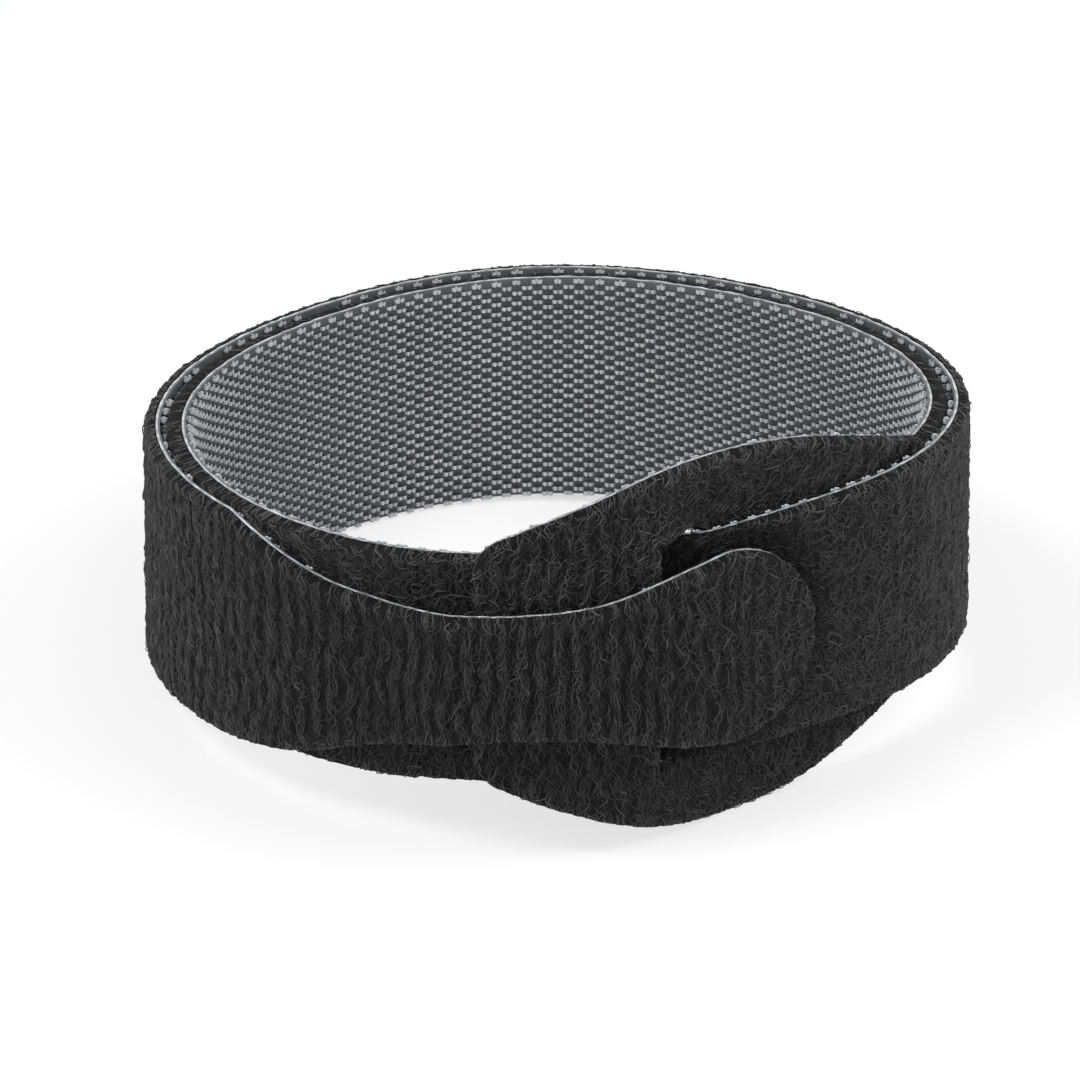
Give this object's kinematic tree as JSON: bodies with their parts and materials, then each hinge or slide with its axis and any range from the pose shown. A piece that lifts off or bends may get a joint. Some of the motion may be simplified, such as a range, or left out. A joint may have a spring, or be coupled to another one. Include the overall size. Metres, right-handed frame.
{
  "type": "hook-and-loop cable tie",
  "caption": "Black one-piece hook-and-loop cable tie wound in two turns, its tail passed through the slit in its own bulged head and ending in a waisted tab; it peels open.",
  "frame": {"origin": "middle of the wound loop, at half the width of the strap, on the axis of the bundle that it ties", "axes": "+Z along the axis of the bundle; the slotted head and the tab are on the -Y side; the strap runs anticlockwise seen from +Z, from the tip of the head to the tab"},
  "size_m": [0.0436, 0.0424, 0.0206],
  "materials": {
    "hook_film": "thin nylon film with rows of moulded hooks, dark grey with pale glinting hook tips",
    "bond_film": "thin pale grey laminating film, seen only as a fine line along the cut edges",
    "loop_pile": "black brushed knitted loop pile with fine ribs across the strap"
  },
  "bodies": {
    "head_and_inner_turn": {"head_hook_film": "hook_film", "head_bond_film": "bond_film", "head_loop_pile": "loop_pile", "inner_turn_hook_film": "hook_film", "inner_turn_bond_film": "bond_film", "inner_turn_loop_pile": "loop_pile", "slit_crossing_hook_film": "hook_film", "slit_crossing_bond_film": "bond_film", "slit_crossing_loop_pile": "loop_pile"},
    "outer_turn_01": {"outer_turn_01_hook_film": "hook_film", "outer_turn_01_bond_film": "bond_film", "outer_turn_01_loop_pile": "loop_pile"},
    "outer_turn_02": {"outer_turn_02_hook_film": "hook_film", "outer_turn_02_bond_film": "bond_film", "outer_turn_02_loop_pile": "loop_pile"},
    "outer_turn_03": {"outer_turn_03_hook_film": "hook_film", "outer_turn_03_bond_film": "bond_film", "outer_turn_03_loop_pile": "loop_pile"},
    "outer_turn_04": {"outer_turn_04_hook_film": "hook_film", "outer_turn_04_bond_film": "bond_film", "outer_turn_04_loop_pile": "loop_pile"},
    "outer_turn_05": {"outer_turn_05_hook_film": "hook_film", "outer_turn_05_bond_film": "bond_film", "outer_turn_05_loop_pile": "loop_pile"},
    "outer_turn_06": {"outer_turn_06_hook_film": "hook_film", "outer_turn_06_bond_film": "bond_film", "outer_turn_06_loop_pile": "loop_pile"},
    "outer_turn_07": {"outer_turn_07_hook_film": "hook_film", "outer_turn_07_bond_film": "bond_film", "outer_turn_07_loop_pile": "loop_pile"},
    "outer_turn_08": {"outer_turn_08_hook_film": "hook_film", "outer_turn_08_bond_film": "bond_film", "outer_turn_08_loop_pile": "loop_pile"},
    "outer_turn_09": {"outer_turn_09_hook_film": "hook_film", "outer_turn_09_bond_film": "bond_film", "outer_turn_09_loop_pile": "loop_pile"},
    "outer_turn_10": {"outer_turn_10_hook_film": "hook_film", "outer_turn_10_bond_film": "bond_film", "outer_turn_10_loop_pile": "loop_pile"},
    "tail_tab_1": {"tail_tab_1_hook_film": "hook_film", "tail_tab_1_bond_film": "bond_film", "tail_tab_1_loop_pile": "loop_pile"},
    "tail_tab_2": {"tail_tab_2_hook_film": "hook_film", "tail_tab_2_bond_film": "bond_film", "tail_tab_2_loop_pile": "loop_pile"},
    "tail_tab_3": {"tail_tab_3_hook_film": "hook_film", "tail_tab_3_bond_film": "bond_film", "tail_tab_3_loop_pile": "loop_pile"}
  },
  "joints": [
    {"name": "outer_turn_01_peel", "type": "hinge", "parent": "head_and_inner_turn", "child": "outer_turn_01", "pos_m": [0.00908, -0.01537, 0], "axis": [0, 0, -1], "range_deg": [0, 22]},
    {"name": "outer_turn_02_peel", "type": "hinge", "parent": "outer_turn_01", "child": "outer_turn_02", "pos_m": [0.02023, -0.00433, 0], "axis": [0, 0, -1], "range_deg": [0, 22]},
    {"name": "outer_turn_03_peel", "type": "hinge", "parent": "outer_turn_02", "child": "outer_turn_03", "pos_m": [0.02163, 0.00219, 0], "axis": [0, 0, -1], "range_deg": [0, 22]},
    {"name": "outer_turn_04_peel", "type": "hinge", "parent": "outer_turn_03", "child": "outer_turn_04", "pos_m": [0.01969, 0.00881, 0], "axis": [0, 0, -1], "range_deg": [0, 22]},
    {"name": "outer_turn_05_peel", "type": "hinge", "parent": "outer_turn_04", "child": "outer_turn_05", "pos_m": [0.01271, 0.01578, 0], "axis": [0, 0, -1], "range_deg": [0, 22]},
    {"name": "outer_turn_06_peel", "type": "hinge", "parent": "outer_turn_05", "child": "outer_turn_06", "pos_m": [0.00232, 0.01945, 0], "axis": [0, 0, -1], "range_deg": [0, 22]},
    {"name": "outer_turn_07_peel", "type": "hinge", "parent": "outer_turn_06", "child": "outer_turn_07", "pos_m": [-0.00618, 0.01803, 0], "axis": [0, 0, -1], "range_deg": [0, 22]},
    {"name": "outer_turn_08_peel", "type": "hinge", "parent": "outer_turn_07", "child": "outer_turn_08", "pos_m": [-0.01616, 0.0102, 0], "axis": [0, 0, -1], "range_deg": [0, 22]},
    {"name": "outer_turn_09_peel", "type": "hinge", "parent": "outer_turn_08", "child": "outer_turn_09", "pos_m": [-0.02033, 0.00168, 0], "axis": [0, 0, -1], "range_deg": [0, 22]},
    {"name": "outer_turn_10_peel", "type": "hinge", "parent": "outer_turn_09", "child": "outer_turn_10", "pos_m": [-0.01991, -0.00647, 0], "axis": [0, 0, -1], "range_deg": [0, 27.5]},
    {"name": "tail_tab_1_peel", "type": "hinge", "parent": "outer_turn_10", "child": "tail_tab_1", "pos_m": [-0.01502, -0.01465, 0], "axis": [0, 0, -1], "range_deg": [0, 44]},
    {"name": "tail_tab_2_peel", "type": "hinge", "parent": "tail_tab_1", "child": "tail_tab_2", "pos_m": [-0.00773, -0.01986, 0], "axis": [0, 0, -1], "range_deg": [0, 49.5]},
    {"name": "tail_tab_3_peel", "type": "hinge", "parent": "tail_tab_2", "child": "tail_tab_3", "pos_m": [0.00005, -0.02122, 0], "axis": [0, 0, -1], "range_deg": [0, 49.5]}
  ],
  "couplings": [
    {"joint": "outer_turn_02_peel", "follows": "outer_turn_01_peel", "ratio": 1},
    {"joint": "outer_turn_03_peel", "follows": "outer_turn_01_peel", "ratio": 1},
    {"joint": "outer_turn_04_peel", "follows": "outer_turn_01_peel", "ratio": 1},
    {"joint": "outer_turn_05_peel", "follows": "outer_turn_01_peel", "ratio": 1},
    {"joint": "outer_turn_06_peel", "follows": "outer_turn_01_peel", "ratio": 1},
    {"joint": "outer_turn_07_peel", "follows": "outer_turn_01_peel", "ratio": 1},
    {"joint": "outer_turn_08_peel", "follows": "outer_turn_01_peel", "ratio": 1},
    {"joint": "outer_turn_09_peel", "follows": "outer_turn_01_peel", "ratio": 1},
    {"joint": "outer_turn_10_peel", "follows": "outer_turn_01_peel", "ratio": 1.25},
    {"joint": "tail_tab_1_peel", "follows": "outer_turn_01_peel", "ratio": 2},
    {"joint": "tail_tab_2_peel", "follows": "outer_turn_01_peel", "ratio": 2.25},
    {"joint": "tail_tab_3_peel", "follows": "outer_turn_01_peel", "ratio": 2.25}
  ]
}
